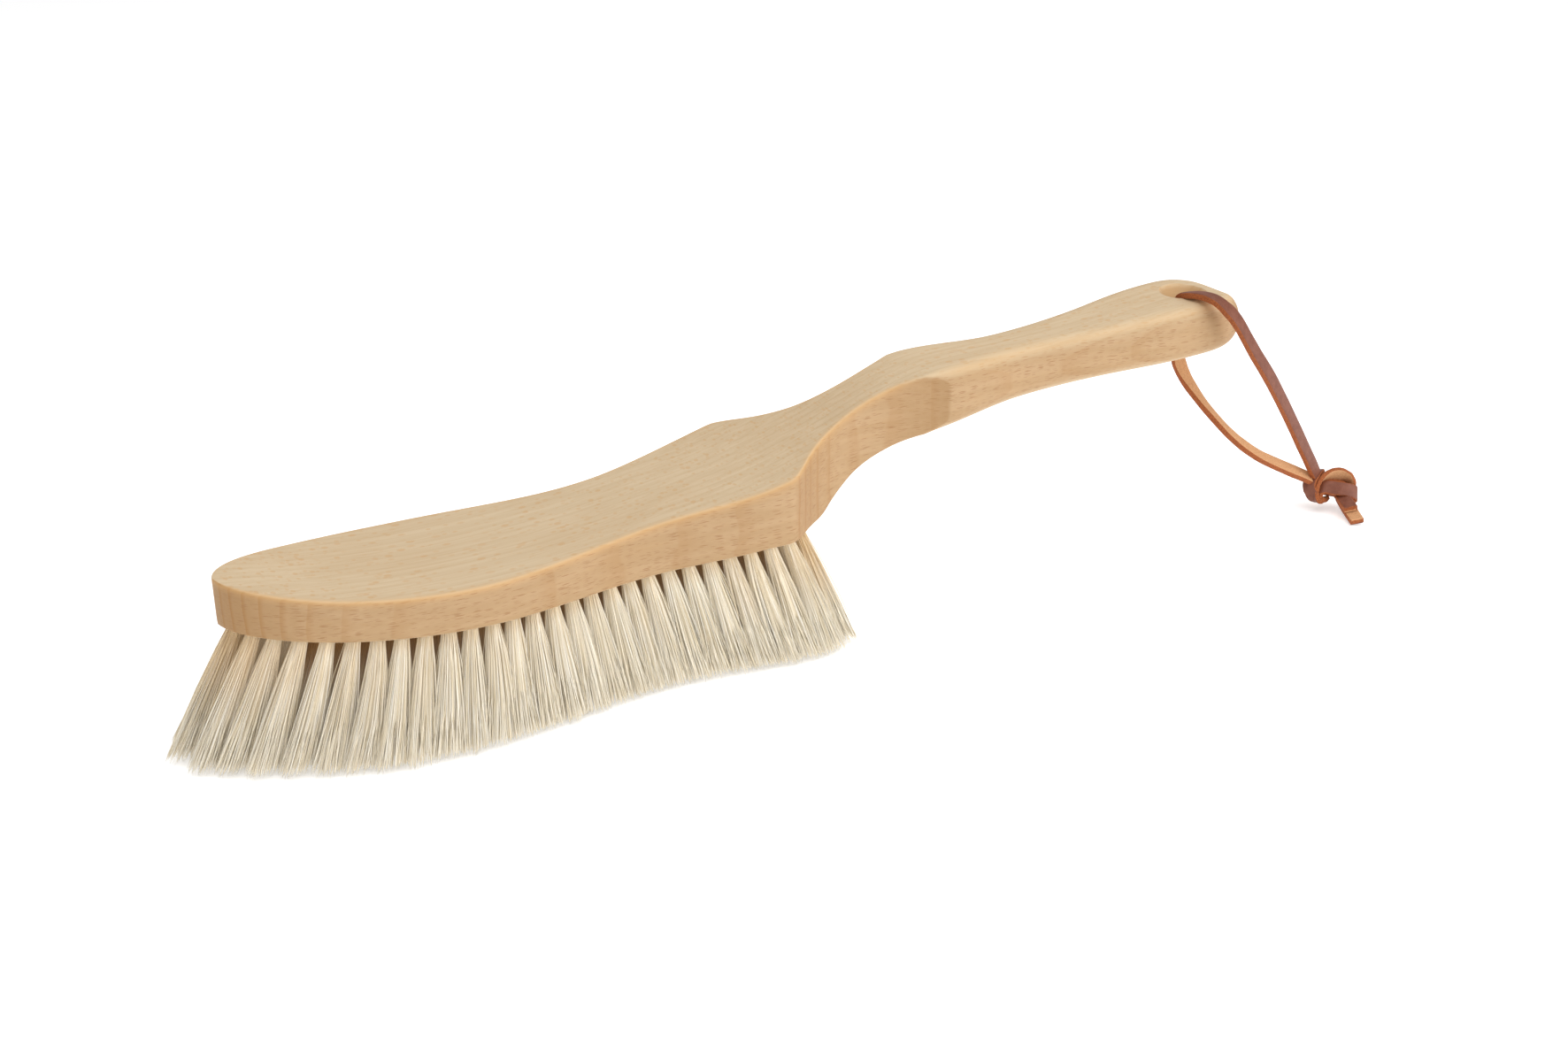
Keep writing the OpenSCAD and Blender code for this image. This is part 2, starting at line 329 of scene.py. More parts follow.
@dataclass(frozen=True)
class Beech:
    """Bare sanded beech: pale upper face, warmer sides painted darker (partly their own tone, partly painted shade),
    short ray dashes, growth rings as upright sheets.
    """

    top: Colour = (0.60, 0.455, 0.285, 1)
    top_light: Colour = (0.635, 0.492, 0.318, 1)
    side: Colour = (0.450, 0.290, 0.150, 1)
    side_light: Colour = (0.485, 0.318, 0.172, 1)
    ring: Colour = (0.47, 0.27, 0.105, 1)
    ring_line: Colour = (0.36, 0.17, 0.05, 1)
    fleck: Colour = (0.56, 0.31, 0.12, 1)
    dash: Colour = (0.33, 0.165, 0.07, 1)
    end: Colour = (0.385, 0.220, 0.092, 1)
    bright_edge: Colour = (0.66, 0.38, 0.15, 1)
    ring_pitch: float = 0.0030

    def build(self) -> bpy.types.Material:
        """Wires the wood from its rings, fibres, rays, the tints of end grain and edges, painted shade in the dish, and
        on the scallops towards the handle a darkening that is partly end grain and partly painted shade.
        """
        s = Shader("beech")
        side = s.attribute("side")
        wander = s.noise(s.place((6, 40, 40)), 1.0, 2)
        coords = s.node("ShaderNodeSeparateXYZ", Vector=s.place((1, 1, 1)))
        across = s.math("ADD", coords.outputs["Y"], s.math("MULTIPLY", s.math("SUBTRACT", wander, 0.5), 0.0022))
        turns = s.math("FRACT", s.math("DIVIDE", across, self.ring_pitch), 0)
        ring = s.math("MULTIPLY", s.fit(turns, 0.62, 0.95), s.fit(turns, 0.95, 1.0, 1.0, 0.0))
        fibres = s.noise(s.place((55, 1700, 1700)), 1.0, 4, 0.6)
        streaks = s.noise(s.place((10, 520, 520)), 1.0, 3, 0.5)
        blotch = s.noise(s.place((30, 60, 60)), 1.0, 2)
        short_rays = s.math("MULTIPLY", self.rays(s, (360, 500, 3300)), 0.8)
        dash = s.math("MAXIMUM", self.rays(s, (230, 380, 2400)), short_rays)
        # Sides darker and warmer than the upper face: partly the side grain's own tone, partly painted shade on faces
        # turned from the light above.
        plain, light = s.mix(side, self.top, self.side), s.mix(side, self.top_light, self.side_light)
        colour = s.mix(s.fit(streaks, 0.38, 0.68), plain, light)
        colour = s.mix(s.math("MULTIPLY", s.attribute("end"), 0.85), colour, self.end)
        ring_share = s.math("ADD", s.fit(side, 0.0, 1.0, 0.08, 0.20), s.math("MULTIPLY", s.attribute("end"), 0.5))
        colour = s.mix(s.math("MULTIPLY", ring, ring_share), colour, self.ring_line)
        colour = s.mix(s.fit(blotch, 0.4, 0.7, 0.0, 0.10), colour, self.ring)
        colour = s.mix(s.fit(fibres, 0.50, 0.8, 0.0, 0.22), colour, self.ring)
        dash_share = s.math("MULTIPLY", dash, s.fit(side, 0.0, 1.0, 0.42, 0.78))
        colour = s.mix(dash_share, colour, s.mix(side, self.fleck, self.dash))
        # Painted shade: the hanging hole's dish darkens towards the hole, in the end-grain colour.
        colour = s.mix(s.math("MULTIPLY", s.attribute("sunk"), 0.75), colour, self.end)
        # Scallop wall towards the handle darkened: partly its end grain, partly painted shade where it turns away from
        # the light.
        colour = s.mix(s.math("MULTIPLY", s.attribute("carved"), 0.4), colour, self.end)
        colour = s.mix(s.math("MULTIPLY", s.attribute("edge"), 0.6), colour, self.bright_edge)
        s.plug(s.principled.inputs["Base Color"], colour)
        s.plug(s.principled.inputs["Roughness"], s.fit(fibres, 0.2, 0.8, 0.50, 0.66))
        s.principled.inputs["Specular IOR Level"].default_value = 0.3
        lift = s.bump(fibres, 0.16, 0.0002)
        s.plug(s.principled.inputs["Normal"], s.bump(s.math("SUBTRACT", 1.0, dash), 0.15, 0.0002, lift))
        return s.material

    def rays(self, s: Shader, scale: Sequence[float]) -> bpy.types.NodeSocket:
        """Short dashes of uneven strength, each a thin sheet across the brush."""
        cells = s.node("ShaderNodeTexVoronoi", Vector=s.place(scale), Scale=1.0)
        strength = s.node("ShaderNodeSeparateColor", Color=cells.outputs["Color"]).outputs["Red"]
        return s.math("MULTIPLY", s.fit(cells.outputs["Distance"], 0.40, 0.20), s.fit(strength, 0.25, 0.9))


@dataclass(frozen=True)
class Hair:
    """Pale natural bristle, each hair a little different, amber towards the root (partly the hairs' own tint, partly
    painted shade and light bounced from the wood) and painted shade in brown on the inner tufts.

    A weak glow of the hair's own colour stands for the light that fine hairs scatter among themselves.
    """

    light: Colour = (0.94, 0.895, 0.795, 1)
    deep: Colour = (0.84, 0.735, 0.54, 1)
    amber: Colour = (0.72, 0.46, 0.17, 1)
    shade: Colour = (0.44, 0.22, 0.055, 1)

    def build(self) -> bpy.types.Material:
        """Wires the hair from its own number, its length and the tuft's warmth."""
        s = Shader("bristle_hair")
        per_hair = s.noise(s.run_uv((90, 1.2, 1)), 1.0, 2, 0.6)
        along = s.node("ShaderNodeSeparateXYZ", Vector=s.run_uv((1, 1, 1))).outputs["Y"]
        colour = s.mix(s.fit(per_hair, 0.32, 0.68), self.light, self.deep)
        # Amber towards the root, more on the nose and heel tufts: partly the hairs' own tint, partly painted shade and
        # light bounced from the wood among the roots.
        warm = s.math("MULTIPLY", s.attribute("warm"), s.fit(along, 0.0, 0.8, 1.0, 0.0))
        warm = s.math("MAXIMUM", warm, s.fit(along, -0.05, 0.25, 0.45, 0.0))
        colour = s.mix(warm, colour, self.amber)
        # Painted shade: inner tufts turn brown towards the root, where the tufts behind lie in shadow.
        inner_shade = s.math("MULTIPLY", s.attribute("inner"), s.fit(along, 0.05, 0.6, 0.95, 0.0))
        colour = s.mix(inner_shade, colour, self.shade)
        s.plug(s.principled.inputs["Base Color"], colour)
        s.plug(s.principled.inputs["Roughness"], s.fit(per_hair, 0.2, 0.8, 0.40, 0.6))
        s.principled.inputs["Specular IOR Level"].default_value = 0.4
        s.plug(s.principled.inputs["Emission Color"], colour)
        s.plug(s.principled.inputs["Emission Strength"], s.fit(along, 0.0, 0.6, 0.08, 0.03))
        s.plug(s.principled.inputs["Normal"], s.bump(s.noise(s.run_uv((60, 2, 1)), 1.0, 2), 0.15, 0.0001))
        return s.material


@dataclass(frozen=True)
class LaceLeather:
    """Cut leather lace: reddish brown grain side, tan flesh side, orange cut edges."""

    grain: Colour = (0.165, 0.048, 0.024, 1)
    flesh: Colour = (0.66, 0.365, 0.18, 1)
    edge: Colour = (0.40, 0.115, 0.03, 1)
    grain_light: Colour = (0.215, 0.072, 0.04, 1)
    pore: Colour = (0.16, 0.05, 0.03, 1)
    flesh_deep: Colour = (0.50, 0.245, 0.11, 1)
    edge_deep: Colour = (0.22, 0.055, 0.018, 1)

    def build(self) -> bpy.types.Material:
        """Wires the leather from the side it shows, its pores and its fibres."""
        s = Shader("lace_leather")
        facing = s.attribute("facing")
        mottle = s.noise(s.place((1, 1, 1)), 420.0, 4, 0.6)
        pores = s.cells(s.place((1, 1, 1)), 2600.0)
        fuzz = s.noise(s.place((1, 1, 1)), 2400.0, 4, 0.7)
        grain = s.mix(s.fit(mottle, 0.3, 0.7), self.grain, self.grain_light)
        grain = s.mix(s.fit(pores, 0.25, 0.05, 0.0, 0.45), grain, self.pore)
        flesh = s.mix(s.fit(fuzz, 0.35, 0.7), self.flesh, self.flesh_deep)
        edge = s.mix(s.fit(fuzz, 0.35, 0.7), self.edge, self.edge_deep)
        colour = s.mix(s.fit(facing, -0.75, -0.45), flesh, edge)
        colour = s.mix(s.fit(facing, 0.35, 0.7), colour, grain)
        s.plug(s.principled.inputs["Base Color"], colour)
        s.plug(s.principled.inputs["Roughness"], s.fit(facing, 0.2, 0.8, 0.82, 0.50))
        s.principled.inputs["Specular IOR Level"].default_value = 0.35
        lift = s.bump(s.math("ADD", s.math("MULTIPLY", pores, 0.6), fuzz), 0.35, 0.00025)
        s.plug(s.principled.inputs["Normal"], lift)
        return s.material


@dataclass(frozen=True)
class DrawnWire:
    """Thin drawn steel wire with faint lengthwise lines."""

    colour: Colour = (0.55, 0.54, 0.52, 1)
    line: Colour = (0.42, 0.41, 0.39, 1)

    def build(self) -> bpy.types.Material:
        """Wires the steel from fine stretched noise."""
        s = Shader("drawn_wire")
        lines = s.noise(s.place((400, 6000, 6000)), 1.0, 3)
        s.plug(s.principled.inputs["Base Color"], s.mix(s.fit(lines, 0.3, 0.7), self.colour, self.line))
        s.principled.inputs["Metallic"].default_value = 1.0
        s.plug(s.principled.inputs["Roughness"], s.fit(lines, 0.2, 0.8, 0.28, 0.45))
        return s.material


@dataclass(frozen=True)
class PaleFloor:
    """Plain matt floor that glows a little, so that it stays white."""

    colour: Colour = (0.93, 0.93, 0.93, 1)
    glow: float = 0.42

    def build(self) -> bpy.types.Material:
        """One plain matt shader."""
        s = Shader("pale_floor")
        s.principled.inputs["Base Color"].default_value = self.colour
        s.principled.inputs["Roughness"].default_value = 0.9
        s.principled.inputs["Emission Color"].default_value = self.colour
        s.principled.inputs["Emission Strength"].default_value = self.glow
        s.principled.inputs["Specular IOR Level"].default_value = 0.0
        return s.material


# ---------------------------------------------------------------- wooden body


@dataclass
class WoodenBody:
    """Head and handle in one piece, in millimetres from the nose."""

    length: float = 336.0
    head_half: float = 26.3
    waist_half: float = 20.5
    shoulder_half: float = 25.8
    head_edge: float = 1.2
    under_bow: float = 650.0
    neck_half: float = 8.9
    scallop_head: float = 40.5
    scallop_handle: float = 60.0
    lip_half: float = 14.3
    slim_half: float = 11.8
    grip_half: float = 18.0
    grip_edge: float = 7.0
    nose_x: float = 62.0
    waist_x: float = 114.0
    shoulder_x: float = 155.0
    neck_x: float = 192.5
    lip_x: float = 219.0
    slim_x: float = 248.0
    grip_x: float = 317.0
    bow_x: float = 88.0
    bow_z: float = 30.6
    nose_power: float = 0.54
    shoulder_soft: float = 6.0
    hole_r: float = 3.0
    sink_r: float = 8.0
    tuft_hole_r: float = 2.1
    tuft_depth: float = 8.0
    edge_span: tuple = (172, 244)
    corner_points: int = 12
    hole_sides: int = 56
    drill_sides: int = 12
    sharp_degrees: float = 28
    top_line: tuple = (
        (0, 49.6), (30, 44.9), (62, 43.0), (95, 44.2), (125, 47.7), (150, 51.8), (174, 58.6), (192, 65.2), (204, 68.9),
        (216, 71.1), (246, 72.0), (278, 73.8), (300, 76.0), (317, 77.0), (326, 76.7), (331, 75.4), (334, 73.2),
        (336, 70.2),
    )
    heel_line: tuple = (
        (150, 33.5), (160, 33.6), (170, 33.4), (174, 34.2), (178, 37.1), (182, 40.0), (187, 43.4), (194, 46.8),
        (204, 50.2), (216, 52.4), (246, 55.2), (278, 57.6), (300, 58.6), (317, 59.6), (328, 60.4), (332, 61.5),
        (334.5, 63.2), (336, 65.5),
    )

    def full_half(self, x: Array) -> Array:
        """Half width before the scallops: a slightly pointed half ellipse, four eased stretches, a half ellipse."""
        x = np.asarray(x, float)
        u = 1 - np.clip(x, 0, self.nose_x) / self.nose_x
        v = np.clip((x - self.grip_x) / (self.length - self.grip_x), 0, 1)
        return np.select(
            [x < self.nose_x, x < self.waist_x, x < self.shoulder_x, x < self.lip_x, x < self.slim_x, x < self.grip_x],
            [
                self.head_half * np.maximum(0, 1 - u * u) ** self.nose_power,
                between(self.head_half, self.waist_half, self.nose_x, self.waist_x, x),
                between(self.waist_half, self.shoulder_half, self.waist_x, self.shoulder_x, x),
                between(self.shoulder_half, self.lip_half, self.shoulder_x, self.lip_x, x),
                between(self.lip_half, self.slim_half, self.lip_x, self.slim_x, x),
                between(self.slim_half, self.grip_half, self.slim_x, self.grip_x, x),
            ],
            self.grip_half * np.sqrt(np.maximum(0, 1 - v * v)),
        )

    def scallop_half(self, x: Array) -> Array:
        """Half width left by the finger scallops: an arc on each side of the neck, tighter towards the head."""
        r = np.where(x < self.neck_x, self.scallop_head, self.scallop_handle)
        return self.neck_half + r - np.sqrt(np.maximum(0, r * r - (x - self.neck_x) ** 2))

    def half_width(self, x: Array) -> Array:
        """Half width of the finished body: the smaller of the two, with the shoulder's corner rounded."""
        return soft_min(self.full_half(x), self.scallop_half(x), between(self.shoulder_soft, 0.2, 165, 195, x))

    def top(self, x: Array) -> Array:
        """Height of the upper face along the middle."""
        return smooth_line(self.top_line, x)

    def under(self, x: Array) -> Array:
        """Height of the underside: a wide arc under the head, then a smooth line."""
        x = np.asarray(x, float)
        start = self.heel_line[0][0]
        bow = self.bow_z + (x - self.bow_x) ** 2 / (2 * self.under_bow)
        return np.where(x < start, bow, smooth_line(self.heel_line, np.maximum(x, start)))

    def stations(self) -> Array:
        """Distances from the nose at which a section is taken, close together at nose, lip and end."""
        nose = self.nose_x * (1 - np.cos(np.radians(np.concatenate([[0.6, 1.2, 2, 3, 4.2], np.arange(5.5, 90, 1.3)]))))
        head = np.arange(self.nose_x, 150, 1.2)
        neck = np.arange(150, 224, 0.5)
        grip = np.arange(224, self.grip_x, 1.2)
        round_end = np.radians(np.concatenate([np.arange(0, 86, 2.2), [87.5, 89.2]]))
        end = self.grip_x + (self.length - self.grip_x) * np.sin(round_end)
        return np.unique(np.round(np.concatenate([nose, head, neck, grip, end]), 5))

    def sections(self, x: Array) -> Array:
        """Cross-sections of the body.

        Formula: half a section runs from the middle of the upper face to a rounded corner, down the wall, round the
        lower corner and back. Corners belong to the uncut body, so the scallops clip them and leave a crisp edge.

        Args:
            x: Distances from the nose.

        Returns:
            Points as stations by points round the section by 3, in millimetres.
        """
        full, w, t, u = self.full_half(x), self.half_width(x), self.top(x), self.under(x)
        edge = between(self.head_edge, self.grip_edge, *self.edge_span, x)
        r = np.minimum(edge, np.minimum(full - 0.02, (t - u) / 2 - 0.1))
        first = np.minimum(full - r, w - np.minimum(self.head_edge, r))
        cut = np.sqrt(np.maximum(0, 1 - (np.maximum(0, w - full + r) / r) ** 2))
        turn = np.radians(np.linspace(0, 90, self.corner_points))[None]
        y_corner = first[:, None] + (w - first)[:, None] * np.sin(turn)
        k = np.clip((y_corner - full[:, None] + r[:, None]) / r[:, None], 0, 1)
        drop = r[:, None] * (1 - np.sqrt(1 - k * k)) + self.head_edge * cut[:, None] * (1 - np.cos(turn))
        flat = np.linspace(0, 1, 14, endpoint=False)[None]
        wall = np.linspace(0, 1, 10)[1:-1][None]
        high, low = t - drop[:, -1], u + drop[:, -1]
        y = np.hstack([
            first[:, None] * flat, y_corner, w[:, None] + 0 * wall, y_corner[:, ::-1], first[:, None] * flat[:, ::-1],
        ])
        z = np.hstack([
            t[:, None] + 0 * flat, t[:, None] - drop, high[:, None] + (low - high)[:, None] * wall,
            u[:, None] + drop[:, ::-1], u[:, None] + 0 * flat,
        ])
        ring_y = np.hstack([y, -y[:, -2:0:-1]])
        ring_z = np.hstack([z, z[:, -2:0:-1]])
        return np.stack([np.broadcast_to(x[:, None], ring_y.shape), ring_y, ring_z], -1)

    def round_cutter(self, name: str, profile: Sequence[Sequence[float]], sides: int) -> bpy.types.Object:
        """Closed turned shape about the hanging hole's axis.

        Formula: radius and height pairs carried round a circle; a flat face closes each end.

        Args:
            name: Object name.
            profile: Radius and height, from the bottom up.
            sides: Points on the circle.

        Returns:
            The cutter.
        """
        p = np.asarray(profile, float)
        a = np.linspace(0, 2 * np.pi, sides, endpoint=False)
        rings = np.stack([
            self.grip_x + p[:, :1] * np.cos(a), p[:, :1] * np.sin(a), np.broadcast_to(p[:, 1:], (len(p), sides)),
        ], -1)
        faces = grid_faces(len(p), sides)
        last = (len(p) - 1) * sides
        return new_piece(name, rings.reshape(-1, 3), faces, [range(sides)[::-1], range(last, last + sides)])

    def drill_cutter(self, name: str, roots: Array, into: Array) -> bpy.types.Object:
        """All tuft drills in one mesh: a prism about each tuft's own axis.

        Args:
            name: Object name.
            roots: Where each tuft leaves the wood.
            into: Unit direction into the wood.

        Returns:
            The cutter.
        """
        sides = self.drill_sides
        a = np.linspace(0, 2 * np.pi, sides, endpoint=False)
        e1 = unit(np.cross(into, [0.0, 1.0, 0.0]))
        e2 = np.cross(into, e1)
        circle = self.tuft_hole_r * (np.cos(a)[None, :, None] * e1[:, None] + np.sin(a)[None, :, None] * e2[:, None])
        ends = np.array([-3.0, self.tuft_depth])
        rings = (roots[:, None] + ends[None, :, None] * into[:, None])[:, :, None, :] + circle[:, None]
        base = np.arange(len(roots))[:, None, None] * 2 * sides
        sidewalls = (base + grid_faces(2, sides)[None]).reshape(-1, 4)
        caps = [
            cap for k in range(len(roots)) for cap in (
                list(range(k * 2 * sides, k * 2 * sides + sides))[::-1],
                list(range(k * 2 * sides + sides, (k + 1) * 2 * sides)),
            )
        ]
        return new_piece(name, rings.reshape(-1, 3), sidewalls, caps)

    def cut(self, obj: bpy.types.Object, cutters: Sequence[bpy.types.Object]) -> None:
        """Takes the cutters out of the body and leaves a plain mesh."""
        for cutter in cutters:
            modifier = obj.modifiers.new(cutter.name, "BOOLEAN")
            modifier.operation = "DIFFERENCE"
            modifier.solver = "EXACT"
            modifier.object = cutter
        done = bpy.data.meshes.new_from_object(obj.evaluated_get(bpy.context.evaluated_depsgraph_get()))
        obj.modifiers.clear()
        obj.data = done
        for cutter in cutters:
            bpy.data.objects.remove(cutter, do_unlink=True)

    def build(self, roots: Array, into: Array, finish: bpy.types.Material) -> bpy.types.Object:
        """Makes the drilled body and dresses it.

        Args:
            roots: Tuft roots on the underside.
            into: Directions of the tuft holes.
            finish: Wood material.

        Returns:
            The finished piece.
        """
        rings = self.sections(self.stations())
        n, m = rings.shape[:2]
        ends = [range(m)[::-1], range((n - 1) * m, n * m)]
        obj = new_piece("wooden_body", rings.reshape(-1, 3), grid_faces(n, m), ends)
        hole = self.round_cutter(
            "hole_cutter",
            [(4.6, 50), (4.6, 59.2), (3.5, 60.4), (self.hole_r, 61.4), (self.hole_r, 72.9), (3.25, 73.5), (3.9, 74.1),
             (5.0, 74.9), (6.4, 75.9), (7.4, 76.6), (self.sink_r, 77.0), (9.4, 77.9), (11.5, 79.0)],
            self.hole_sides,
        )
        self.cut(obj, [hole, self.drill_cutter("drill_cutter", roots, into)])
        self.mark(obj)
        finish_piece(obj, "brush", ["block"], finish)
        return obj

    def mark(self, obj: bpy.types.Object) -> None:
        """Stores what the finish needs at each point.

        Side and end tell how far a point faces sideways and lengthways, edge how near it is to an upper edge, carved
        how deep it lies in a scallop towards the handle, and sunk how far down it lies in the hanging hole's dish.
        """
        mesh = obj.data
        mesh.set_sharp_from_angle(angle=math.radians(self.sharp_degrees))
        co = np.empty(len(mesh.vertices) * 3, np.float32)
        normal = np.empty(len(mesh.vertices) * 3, np.float32)
        mesh.vertices.foreach_get("co", co)
        mesh.vertex_normals.foreach_get("vector", normal)
        p = co.reshape(-1, 3) / MM + np.array([NOSE_TO_ORIGIN, 0, 0])
        flat = np.abs(normal.reshape(-1, 3)[:, 2])
        set_attribute(obj, "side", ease((0.90 - flat) / 0.45))
        set_attribute(obj, "end", ease((np.abs(normal.reshape(-1, 3)[:, 0]) - 0.2) / 0.65))
        inward = self.half_width(p[:, 0]) - np.abs(p[:, 1])
        below = self.top(p[:, 0]) - p[:, 2]
        near = np.exp(-((inward / 1.1) ** 2)) * np.exp(-((below / 1.1) ** 2)) * ease((212 - p[:, 0]) / 14)
        corner = 0.45 * np.exp(-(((0.82 - flat) / 0.12) ** 2)) * ease((p[:, 0] - 206) / 16) * (below < 6)
        set_attribute(obj, "edge", np.maximum(near, corner))
        off_axis = np.hypot(p[:, 0] - self.grip_x, p[:, 1])
        carved = ease((self.full_half(p[:, 0]) - self.half_width(p[:, 0]) - 0.05) / 0.4) * (inward < 0.05)
        set_attribute(obj, "carved", carved * ease((p[:, 0] - 192) / 22) * ease((0.90 - flat) / 0.45))
        set_attribute(obj, "sunk", ease((self.sink_r + 0.4 - off_axis) / 1.6) * ease((below - 0.1) / 1.2))


# ---------------------------------------------------------------- bristles


@dataclass
class Bristles:
    """Tufts of stiff pale hair, in millimetres from the nose."""

    body: WoodenBody
    pitch: float = 6.05
    rows: int = 6
    even_x: float = 24.0
    even_count: int = 23
    heel_gap: float = 5.6
    inset: float = 4.7
    lean_out: float = 12.0
    lean_from: float = 45.0
    nose_spread: float = 1.21
    heel_spread: float = 1.11
    nose_columns: tuple = ((5.2, 1), (7.8, 2), (12.2, 3), (17.8, 4))
    hairs: int = 330
    hair_r: float = 0.115
    stops: tuple = (-0.08, 0.06, 0.3, 0.62, 0.95)
    taper: tuple = (0.9, 1.0, 1.0, 0.95, 0.85)
    locks: int = 26
    own_share: float = 0.76
    lock_share: float = 0.24
    lock_uneven: float = 0.8
    hair_uneven: float = 0.7
    stray_above: float = 0.94
    stray_cut: float = 4.0
    root_spread: float = 1.75
    spread_along: float = 5.5
    spread_across: float = 5.2
    spread_outer: float = 3.6
    flare: float = 1.05
    core_stops: tuple = (-0.15, 0.0, 0.2, 0.4, 0.6, 0.74)
    core_radii: tuple = (1.4, 1.4, 1.4, 1.6, 1.7, 1.0)
    core_sides: int = 14

    def columns(self) -> list[tuple[float, int]]:
        """Distance from the nose and number of tufts for every column."""
        even = [(self.even_x + k * self.pitch, self.rows) for k in range(self.even_count)]
        return [*self.nose_columns, *even, (even[-1][0] + self.heel_gap, self.rows - 2)]

    def tufts(self, column: tuple[float, int]) -> tuple[Array, Array, Array]:
        """Roots, tips and places across of one column's tufts.

        Formula: roots are spread evenly across, clear of the edge; tips lean out sideways and along the brush.

        Args:
            column: Distance from the nose and number of tufts.

        Returns:
            Roots and tips as points, and each tuft's place across from -1 to 1.
        """
        x, n = column
        slope = float(self.body.full_half(np.array(x + 1.0)) - self.body.full_half(np.array(x - 1.0))) / 2
        edge = float(self.body.half_width(np.array(x))) - self.inset * math.sqrt(1 + slope * slope)
        s = np.zeros(1) if n == 1 else np.linspace(-1, 1, n)
        spread = self.nose_spread if x < self.body.bow_x else self.heel_spread
        lean = self.lean_out * min(1.0, x / self.lean_from)
        roots = np.stack([np.full(n, x), s * edge, np.full(n, float(self.body.under(np.array(x))))], -1)
        tip_x = self.body.bow_x + (x - self.body.bow_x) * spread
        tips = np.stack([np.full(n, tip_x), s * (edge + lean), np.zeros(n)], -1)
        return roots, tips, s

    def all_roots(self) -> tuple[Array, Array]:
        """Every tuft's root and its direction into the wood."""
        pairs = [self.tufts(c) for c in self.columns()]
        roots = np.vstack([p[0] for p in pairs])
        return roots, unit(roots - np.vstack([p[1] for p in pairs]))

    def hair_lines(self, root: Array, tip: Array, across: float, rng: np.random.Generator) -> tuple[Array, Array]:
        """Middle lines of one tuft's hairs.

        Formula: each hair runs straight from its place in the round root towards its place at the tips, where hairs
        gather in small locks; it bows a little on the way and is cut near the ground.

        Args:
            root: Where the tuft leaves the wood.
            tip: Middle of its tips.
            across: Place across the head, from -1 to 1.
            rng: Random source.

        Returns:
            Points as hairs by stops by 3, and the stops as shares of the length.
        """
        n = self.hairs
        axis = unit(tip - root)
        e1 = unit(np.cross([0.0, 1.0, 0.0], axis))
        e2 = np.cross(axis, e1)
        reach = np.sqrt(rng.uniform(0, 1, n))
        turn = rng.uniform(0, 2 * np.pi, n)
        lock_reach = np.sqrt((np.arange(self.locks) + 0.5) / self.locks)
        lock_turn = np.arange(self.locks) * GOLDEN_TURN + rng.uniform(0, 6.28)
        own = np.stack([reach * np.cos(turn), reach * np.sin(turn)], -1)
        centre = np.stack([lock_reach * np.cos(lock_turn), lock_reach * np.sin(lock_turn)], -1)
        nearest = np.argmin(np.linalg.norm(own[:, None] - centre[None], axis=-1), axis=1)
        end = self.own_share * own + self.lock_share * centre[nearest] + rng.normal(0, 0.05, (n, 2))
        outward = np.sign(end[:, 1]) * np.sign(across if across else 1.0) > 0
        wide = np.where(outward & (abs(across) > 0.99), self.spread_outer, self.spread_across)
        wide = wide * (0.75 + 0.25 * abs(across))
        end_off = end * np.stack([np.full(n, self.spread_along), wide], -1)
        start_off = own * self.root_spread
        lock_cut = rng.uniform(0.0, self.lock_uneven, self.locks)[nearest]
        cut = lock_cut + np.abs(rng.normal(0, self.hair_uneven, n))
        cut = cut + np.where(rng.uniform(0, 1, n) > self.stray_above, rng.uniform(0, self.stray_cut, n), 0)
        drift = rng.normal(0, 0.45, (n, 2)) + rng.normal(0, 0.25, (1, 2))
        t = np.append(np.asarray(self.stops), 1.0)[None, :, None]
        f = np.clip(t, 0, 1) ** self.flare
        off = start_off[:, None] * (1 - f) + end_off[:, None] * f + drift[:, None] * np.sin(np.pi * np.clip(t, 0, 1))
        length = (root[2] - cut + end_off[:, 0] * e1[2] + end_off[:, 1] * e2[2]) / root[2]
        reach_t = t * np.where(t > 0, length[:, None, None], 1.0)
        line = root + (tip - root) * reach_t + off[..., :1] * e1 + off[..., 1:] * e2
        return line, np.broadcast_to(t[..., 0], (n, t.shape[1]))

    def hair_mesh(self, lines: Array, shares: Array, rng: np.random.Generator) -> tuple[Array, Array, Array]:
        """Three-sided hairs that taper to a point.

        Args:
            lines: Middle lines, hairs by stops by 3.
            shares: Stops as shares of the length.
            rng: Random source.

        Returns:
            Vertices, triangles and the map of hair number and share.
        """
        n, k = lines.shape[:2]
        spin = rng.uniform(0, 2 * np.pi, n)[:, None] + np.array(THIRDS)[None]
        thick = self.hair_r * np.array(self.taper)
        run = unit(lines[:, -1] - lines[:, 0])
        a = unit(np.cross(run, [1.0, 0.0, 0.0]))
        b = np.cross(run, a)
        ring = np.cos(spin)[:, :, None] * a[:, None] + np.sin(spin)[:, :, None] * b[:, None]
        tube = lines[:, :-1, None, :] + thick[None, :, None, None] * ring[:, None]
        verts = np.concatenate([tube.reshape(n, -1, 3), lines[:, -1:]], 1)
        per = 3 * (k - 1) + 1
        walls = grid_faces(k - 1, 3)
        tri = np.concatenate([walls[:, [0, 1, 2]], walls[:, [0, 2, 3]]])
        last = 3 * (k - 2)
        ends = np.array([[last, last + 1, per - 1], [last + 1, last + 2, per - 1], [last + 2, last, per - 1], [2, 1, 0]])
        one = np.concatenate([tri, ends])
        faces = (one[None] + per * np.arange(n)[:, None, None]).reshape(-1, 3)
        number = rng.uniform(0, 1, n)
        u = np.repeat(number[:, None], per, 1)
        v = np.concatenate([np.repeat(shares[:, :-1], 3, axis=1), shares[:, -1:]], 1)
        return verts.reshape(-1, 3), faces, np.stack([u, v], -1).reshape(-1, 2)

